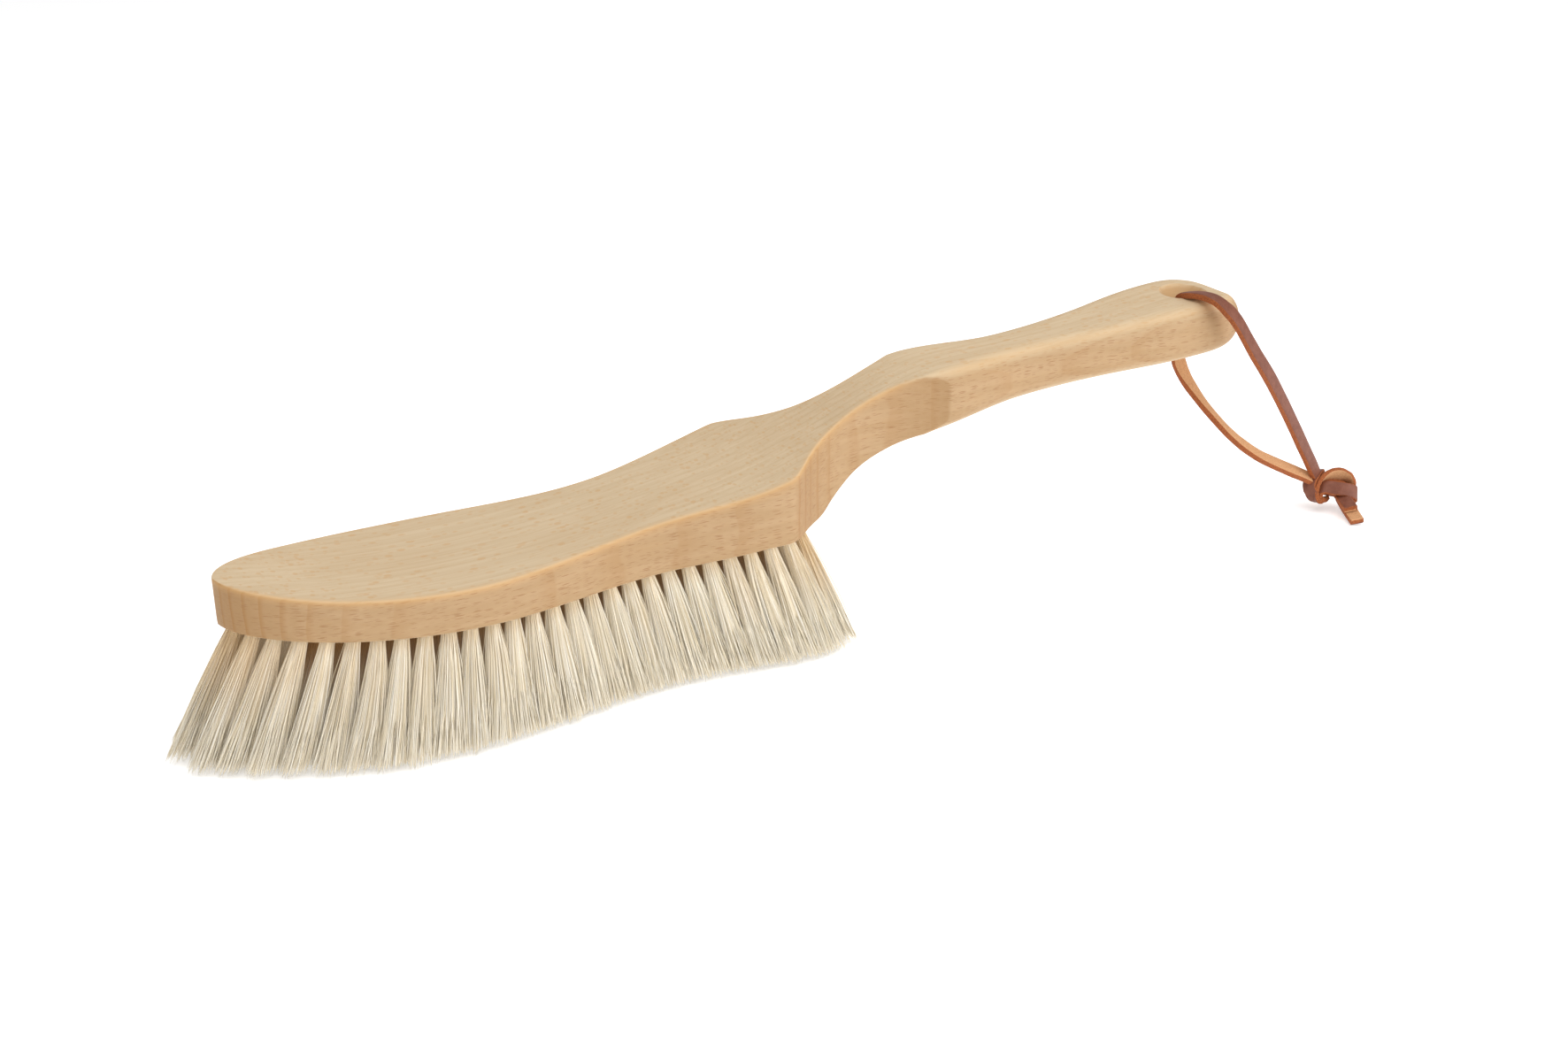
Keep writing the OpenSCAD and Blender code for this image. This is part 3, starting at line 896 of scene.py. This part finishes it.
    def core_mesh(self, root: Array, tip: Array) -> tuple[Array, Array, Array]:
        """Solid heart of a tuft, so that no light shows through its middle.

        Formula: ovals along the tuft, closed by a point at each end.

        Args:
            root: Where the tuft leaves the wood.
            tip: Middle of its tips.

        Returns:
            Vertices, triangles and map.
        """
        sides = self.core_sides
        axis = unit(tip - root)
        e1 = unit(np.cross([0.0, 1.0, 0.0], axis))
        e2 = np.cross(axis, e1)
        t, r = np.array(self.core_stops), np.array(self.core_radii)
        a = np.linspace(0, 2 * np.pi, sides, endpoint=False)
        mid = root + (tip - root) * t[:, None]
        oval = np.cos(a)[None, :, None] * e1 + 1.15 * np.sin(a)[None, :, None] * e2
        rings = mid[:, None] + r[:, None, None] * oval
        verts = np.vstack([rings.reshape(-1, 3), mid[:1] - axis * 0.5, mid[-1:] + axis * 2.0])
        walls = grid_faces(len(t), sides)
        tri = np.concatenate([walls[:, [0, 1, 2]], walls[:, [0, 2, 3]]])
        j = np.arange(sides)
        nxt = (j + 1) % sides
        base, last = len(t) * sides, (len(t) - 1) * sides
        ends = np.concatenate([
            np.stack([nxt, j, np.full(sides, base)], -1),
            np.stack([last + j, last + nxt, np.full(sides, base + 1)], -1),
        ])
        u = np.concatenate([np.tile(a / (2 * np.pi), len(t)), [0.5, 0.5]])
        v = np.concatenate([np.repeat(np.clip(t, 0, 1), sides), [0, 1]])
        return verts, np.concatenate([tri, ends]), np.stack([u, v], -1)

    def build(self, finish: bpy.types.Material) -> None:
        """Makes one piece for each column of tufts."""
        columns = self.columns()
        for i, column in enumerate(columns):
            rng = np.random.default_rng(400 + i)
            verts, faces, maps, warm, inner, count = [], [], [], [], [], 0
            # Amber share for the nose and heel tufts: partly the hairs' own tint, partly painted shade at the roots.
            edge_warmth = 0.75 * math.exp(-column[0] / 14) + 0.55 * math.exp(-(columns[-1][0] - column[0]) / 7)
            for root, tip, across in zip(*self.tufts(column)):
                lines, shares = self.hair_lines(root, tip, float(across), rng)
                warmth = float(np.clip(0.10 + edge_warmth + rng.normal(0, 0.05), 0, 1))
                # Inner tufts of the middle columns get painted shade from the hair finish.
                within = float(len(self.nose_columns) <= i < len(columns) - 2 and abs(across) < 0.99)
                for part in (self.hair_mesh(lines, shares, rng), self.core_mesh(root, tip)):
                    verts.append(part[0])
                    faces.append(part[1] + count)
                    maps.append(part[2])
                    warm.append(np.full(len(part[0]), warmth))
                    inner.append(np.full(len(part[0]), within))
                    count += len(part[0])
            obj = new_piece(f"bristles_{i + 1:02d}", np.vstack(verts), np.vstack(faces))
            set_uv(obj, np.vstack(maps))
            set_attribute(obj, "warm", np.concatenate(warm))
            set_attribute(obj, "inner", np.concatenate(inner))
            finish_piece(obj, "brush", [f"tufts_{i + 1:02d}"], finish)


# ---------------------------------------------------------------- leather lace


@dataclass
class Lace:
    """Flat leather lace, in millimetres from the nose, with its knot and two tails."""

    width: float = 4.6
    thick: float = 2.0
    squareness: float = 0.26
    crown: float = 0.12
    trim: float = 0.09
    sharp_degrees: float = 50
    upper_route: tuple = (
        (314.3, -5, 77.3), (314.2, -8.6, 78.4), (314.9, -12, 78.9), (315.2, -15.4, 79), (315.6, -18.8, 78.5),
        (317, -22, 76.3), (319.4, -24.3, 72.6), (322.2, -25.7, 67.6), (326, -26.5, 61.8), (332, -27, 53.8),
        (339.5, -26.6, 43.4), (347.5, -25.7, 32.2), (355.5, -24.8, 20.8), (360.5, -24.2, 13.6), (362.8, -23.9, 10.3),
    )
    upper_face: tuple = (
        (0, 0.3, 1), (0, 0.15, 1), (0, 0, 1), (0, -0.1, 1), (0.05, -0.4, 0.9), (0.1, -0.75, 0.65), (0.2, -0.85, 0.45),
        (0.28, -0.9, 0.3), (0.3, -0.93, 0.2), (0.31, -0.94, 0.13), (0.31, -0.94, 0.13), (0.31, -0.94, 0.13),
        (0.31, -0.94, 0.13), (0.31, -0.94, 0.13), (0.31, -0.94, 0.13),
    )
    hole_route: tuple = (
        (317, 0, 56), (317, 0, 62), (317, 0, 68), (316.8, -0.1, 71.5), (316.2, -0.9, 74.2), (315, -2.8, 76.2),
        (314.3, -5, 77.3),
    )
    hole_face: tuple = ((0, 1, 0), (0, 1, 0), (0, 1, 0), (0, 1, 0.1), (0, 0.85, 0.5), (0, 0.55, 0.85), (0, 0.3, 1))
    lower_route: tuple = (
        (317, 0, 56), (317.3, -1.3, 52), (318.6, -3.6, 47.5), (320.5, -6.7, 43), (322.8, -10, 38.6),
        (325.7, -13.2, 34.2), (329, -16, 30), (333, -18.2, 26.2), (337.6, -20, 22.7), (342.5, -21.3, 19.8),
        (347.8, -22.2, 17), (353.2, -22.8, 14.2), (358.4, -23.2, 11.5), (361.6, -23.4, 9.8),
    )
    lower_face: tuple = (
        (0, 1, 0), (0, 1, 0.1), (-0.2, 0.9, -0.2), (-0.4, 0.8, -0.4), (-0.5, 0.7, -0.5), (-0.5, 0.6, -0.6),
        (-0.45, 0.6, -0.7), (-0.4, 0.6, -0.7), (-0.4, 0.6, -0.7), (-0.35, 0.6, -0.75), (-0.3, 0.6, -0.75),
        (-0.3, 0.6, -0.75), (-0.3, 0.6, -0.75), (-0.3, 0.6, -0.75),
    )
    tail_a_route: tuple = ((369.6, -27.4, 5.6), (367.4, -32.6, 4.7), (365, -38, 3.9))
    tail_b_route: tuple = ((370.6, -28.6, 3.4), (367.4, -35.4, 2), (363.8, -42.4, 1.4))
    tail_face: tuple = (-0.23, -0.06, 0.97)
    knot_centre: tuple = (366.0, -26.6, 8.0)
    knot_right: tuple = (0.867, -0.4983, 0.0)
    knot_rise: tuple = (0.2027, 0.3526, 0.9135)
    knot_thick: float = 1.5

    def outline(self, thick: float, around: int = 28) -> Array:
        """Cross-section of the lace: a flat oblong with rounded corners, its grain side a little crowned."""
        a = np.linspace(0, 2 * np.pi, around, endpoint=False) + np.pi / around
        c, s = np.cos(a), np.sin(a)
        y = np.sign(c) * np.abs(c) ** self.squareness * self.width / 2
        z = np.sign(s) * np.abs(s) ** self.squareness * thick / 2
        z = z + self.crown * (1 - (2 * y / self.width) ** 2) * (z > 0)
        return np.stack([y, z], -1)

    def band(self, name: str, line: Array, faces: Array, seed: int, thick: float) -> bpy.types.Object:
        """Lace carried along a line.

        Formula: the cross-section is set square to the line at each point, its grain side towards the given direction,
        with the cut edges a little uneven.

        Args:
            name: Piece name.
            line: Points of the middle line.
            faces: Direction of the grain side at each point.
            seed: Random seed of the uneven edges.
            thick: Thickness of the lace here.

        Returns:
            The band as a closed mesh with its map and its facing.
        """
        rng = np.random.default_rng(seed)
        n = len(line)
        run = unit(np.gradient(line, axis=0))
        side = unit(np.cross(run, faces))
        up = np.cross(side, run)
        shape = self.outline(thick)
        m = len(shape)
        left, right = 1 + self.trim * soft_noise(n, 5, rng), 1 + self.trim * soft_noise(n, 4, rng)
        stretch = np.where(shape[None, :, 0] > 0, right[:, None], left[:, None])
        y = shape[None, :, 0] * (1 + (stretch - 1) * 0.5)
        z = shape[None, :, 1] * (1 + 0.04 * soft_noise(n, 7, rng))[:, None]
        verts = line[:, None] + y[..., None] * side[:, None] + z[..., None] * up[:, None]
        ends = [range(m), range((n - 1) * m, n * m)[::-1]]
        obj = new_piece(name, verts.reshape(-1, 3), grid_faces(n, m)[:, ::-1], ends)
        obj.data.set_sharp_from_angle(angle=math.radians(self.sharp_degrees))
        length = np.concatenate([[0], np.cumsum(np.linalg.norm(np.diff(line, axis=0), axis=1))]) * MM
        around = np.arange(m) / m
        set_uv(obj, np.stack([np.tile(around, n), np.repeat(length, m)], -1))
        level = shape[:, 1] / (thick / 2)
        edge = np.clip((np.abs(shape[:, 0]) * 2 / self.width - 0.90) / 0.08, 0, 1)
        facing = np.clip(level, -1, 1) * (1 - edge)
        set_attribute(obj, "facing", np.tile(facing, n))
        return obj

    def leg(self, name: str, route: Sequence, faces: Sequence, seed: int) -> tuple[bpy.types.Object, Array]:
        """One stretch of lace along its route, and its middle line."""
        line = rounded_path(np.asarray(route, float), 8)
        return self.band(name, line, unit(rounded_path(np.asarray(faces, float), 8)), seed, self.thick), line

    def tail(self, name: str, route: Sequence, side: LeatherSide, seed: int) -> bpy.types.Object:
        """One cut end of the lace, with the given side of the leather up."""
        return self.leg(name, route, [side.value * np.array(self.tail_face)] * len(route), seed)[0]

    def knot(self, finish: bpy.types.Material) -> bpy.types.Object:
        """Overhand knot in the doubled lace: a grain band at its left, a band turned inside out over it, one in front.

        Each wrap is a route of points across, up and out from the knot's centre, with the way its grain side faces.
        """
        wraps = (
            (
                "wrap_left",
                ((-3.2, 4.7, -2.0), (-5.0, 3.6, 0.4), (-6.6, 2.1, 1.4), (-7.3, 0, 1.7), (-6.5, -2.3, 1.3),
                 (-5, -4.2, 0.2), (-3.2, -5, -1.7)),
                ((-0.4, 0.8, 0.3), (-0.6, 0.55, 0.6), (-0.65, 0.3, 0.7), (-0.65, 0, 0.76), (-0.6, -0.35, 0.7),
                 (-0.4, -0.7, 0.5), (-0.2, -0.9, 0.1)),
            ),
            (
                "wrap_over",
                ((-3.6, -5.0, -0.8), (-4.8, -4.2, 0.2), (-5.1, -1.7, 0.9), (-4.2, 0.9, 1.1), (-2.2, 2.8, 0.9),
                 (0.2, 3.8, 0.4), (2.9, 4.0, 0), (5.5, 3.2, -0.6), (7.2, 1.5, -1.5), (7.3, -0.8, -2.6)),
                ((-0.5, -0.9, 0), (-0.9, -0.5, 0), (-1, 0, 0), (-0.9, 0.45, -0.05), (-0.6, 0.7, -0.35),
                 (-0.2, 0.72, -0.62), (0.05, 0.65, -0.74), (0.35, 0.6, -0.7), (0.75, 0.4, -0.5), (0.9, 0, -0.4)),
            ),
            (
                "wrap_front",
                ((-1.2, -4.3, -2.2), (-2.8, -4.7, -1.0), (-4.0, -3.3, 0), (-3.7, -1.6, 0.8), (-2.1, -0.7, 1.6),
                 (0.5, -0.9, 2.3), (3.2, -1.2, 2.5), (5.9, -1.6, 2), (8, -2.3, 0.8), (8.8, -3.3, -1),
                 (8.2, -4.6, -2.8)),
                ((0.2, -0.95, 0.1), (-0.45, -0.85, 0.2), (-0.95, -0.1, 0.3), (-0.8, 0.35, 0.5), (-0.45, 0.4, 0.8),
                 (-0.1, 0.25, 0.96), (0.05, 0.15, 0.98), (0.3, 0.1, 0.95), (0.7, 0, 0.7), (0.98, 0, 0.1),
                 (0.8, -0.4, -0.5)),
            ),
        )
        right, rise = np.array(self.knot_right), np.array(self.knot_rise)
        turn = np.stack([right, rise, np.cross(right, rise)])
        centre = np.array(self.knot_centre)
        parts = []
        for k, (name, route, faces) in enumerate(wraps):
            line = centre + rounded_path(np.asarray(route, float), 10) @ turn
            grain = unit(rounded_path(np.asarray(faces, float), 10)) @ turn
            parts.append(self.band(name, line, grain, 70 + k, self.knot_thick))
        parts.append(self.heart(centre, turn))
        obj = joined("knotted_lace", parts)
        finish_piece(obj, "lace_loop", ["lace_knot"], finish)
        return obj

    def heart(self, centre: Array, turn: Array) -> bpy.types.Object:
        """Strands inside the knot, as one rounded bundle.

        Formula: ovals along the knot's width, narrow at both ends.
        """
        n, m = 15, 20
        t = np.linspace(-1, 1, n)
        a = np.linspace(0, 2 * np.pi, m, endpoint=False)
        r = np.sqrt(np.maximum(0.02, 1 - 0.8 * t**4))
        local = np.stack([
            np.broadcast_to((6.2 * t + 0.8)[:, None], (n, m)), 3.3 * r[:, None] * np.sin(a) - 0.3 - 1.1 * t[:, None],
            2.2 * r[:, None] * np.cos(a) - 1.9,
        ], -1)
        verts = centre + local.reshape(-1, 3) @ turn
        obj = new_piece("heart", verts, grid_faces(n, m)[:, ::-1], [range(m), range((n - 1) * m, n * m)[::-1]])
        set_uv(obj, np.stack([np.tile(a / 6.2832, n), np.repeat(t * 0.005, m)], -1))
        set_attribute(obj, "facing", np.full(n * m, -0.2))
        return obj

    def build(self, finish: bpy.types.Material) -> None:
        upper, upper_line = self.leg("lace_upper_leg", self.upper_route, self.upper_face, 11)
        lower, lower_line = self.leg("lace_lower_leg", self.lower_route, self.lower_face, 12)
        inside, _ = self.leg("lace_through_hole", self.hole_route, self.hole_face, 13)
        tails = [
            self.tail("lace_tail_short", self.tail_a_route, LeatherSide.GRAIN, 14),
            self.tail("lace_tail_long", self.tail_b_route, LeatherSide.FLESH, 15),
        ]
        nodes = ("lace_upper", "lace_lower", "lace_in_hole", "lace_tail_a", "lace_tail_b")
        for obj, node in zip((upper, lower, inside, *tails), nodes):
            finish_piece(obj, "lace_loop", [node], finish)
        knot = self.knot(finish)


def joined(name: str, parts: Sequence[bpy.types.Object]) -> bpy.types.Object:
    """One piece out of several meshes that already share the frame.

    Args:
        name: Name of the piece.
        parts: Pieces to join; the first one is kept.

    Returns:
        The joined piece.
    """
    chosen = list(parts)
    with bpy.context.temp_override(
        active_object=parts[0], object=parts[0], selected_editable_objects=chosen, selected_objects=chosen,
    ):
        bpy.ops.object.join()
    parts[0].name = name
    parts[0].data.name = name
    return parts[0]


# ---------------------------------------------------------------- studio


@dataclass
class Studio:
    """Camera, pale floor and soft light."""

    azimuth: float = -29.89
    elevation: float = 24.0
    distance: float = 0.58192
    focal: float = 2200 / 1772 * 36.0
    target: tuple = (0.00727, 0.0, 0.02794)

    def camera(self) -> None:
        """Camera at the given angles, looking at the target."""
        a, e = math.radians(self.azimuth), math.radians(self.elevation)
        back = Vector((math.sin(a) * math.cos(e), -math.cos(a) * math.cos(e), math.sin(e)))
        data = bpy.data.cameras.new("camera")
        data.lens = self.focal
        data.sensor_width = 36.0
        data.sensor_fit = "HORIZONTAL"
        data.clip_start = 0.01
        cam = bpy.data.objects.new("camera", data)
        bpy.context.collection.objects.link(cam)
        cam.rotation_euler = (-back).to_track_quat("-Z", "Y").to_euler()
        cam.location = Vector(self.target) + back * self.distance
        bpy.context.scene.camera = cam

    def floor(self) -> None:
        """Plain floor under the tips."""
        mesh = bpy.data.meshes.new("floor")
        mesh.from_pydata([(-4, -4, 0), (4, -4, 0), (4, 4, 0), (-4, 4, 0)], [], [(0, 1, 2, 3)])
        obj = bpy.data.objects.new("floor", mesh)
        bpy.context.collection.objects.link(obj)
        obj.location.z = -0.0004
        mesh.materials.append(PaleFloor().build())

    def lamp(self, name: str, place: tuple, size: float, power: float) -> None:
        """Soft square lamp aimed at the brush."""
        data = bpy.data.lights.new(name, "AREA")
        data.size = size
        data.energy = power
        obj = bpy.data.objects.new(name, data)
        bpy.context.collection.objects.link(obj)
        obj.location = place
        obj.rotation_euler = (Vector(self.target) - Vector(place)).to_track_quat("-Z", "Y").to_euler()

    def light(self) -> None:
        """White surroundings and three soft lamps."""
        world = bpy.data.worlds.new("studio")
        world.use_nodes = True
        background = world.node_tree.nodes["Background"]
        background.inputs[0].default_value = (1, 1, 1, 1)
        background.inputs[1].default_value = 0.5
        bpy.context.scene.world = world
        bpy.context.scene.view_settings.view_transform = "Standard"
        self.lamp("over", (0.1, -0.2, 1.15), 1.3, 9.0)
        self.lamp("front", (0.85, -1.0, 0.42), 0.9, 8.2)
        self.lamp("left", (-1.0, -0.6, 0.35), 0.8, 1.3)

    def build(self) -> None:
        """Sets up camera, floor and light."""
        self.camera()
        self.floor()
        self.light()
        log.info("studio: camera, floor and lamps")


def main() -> None:
    """Builds the studio and the brush's pieces in order."""
    logging.basicConfig(level=logging.INFO, format="%(message)s")
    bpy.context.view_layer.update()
    Studio().build()
    Lace().build(LaceLeather().build())
    body = WoodenBody()
    bristles = Bristles(body)
    roots, into = bristles.all_roots()
    body.build(roots, into, Beech().build())
    bristles.build(Hair().build())
    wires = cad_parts["tuft_wires"]
    wires.data.materials.clear()
    wires.data.materials.append(DrawnWire().build())
    log.info("tuft_wires: carried over from the CAD")


if __name__ == "__main__":
    main()
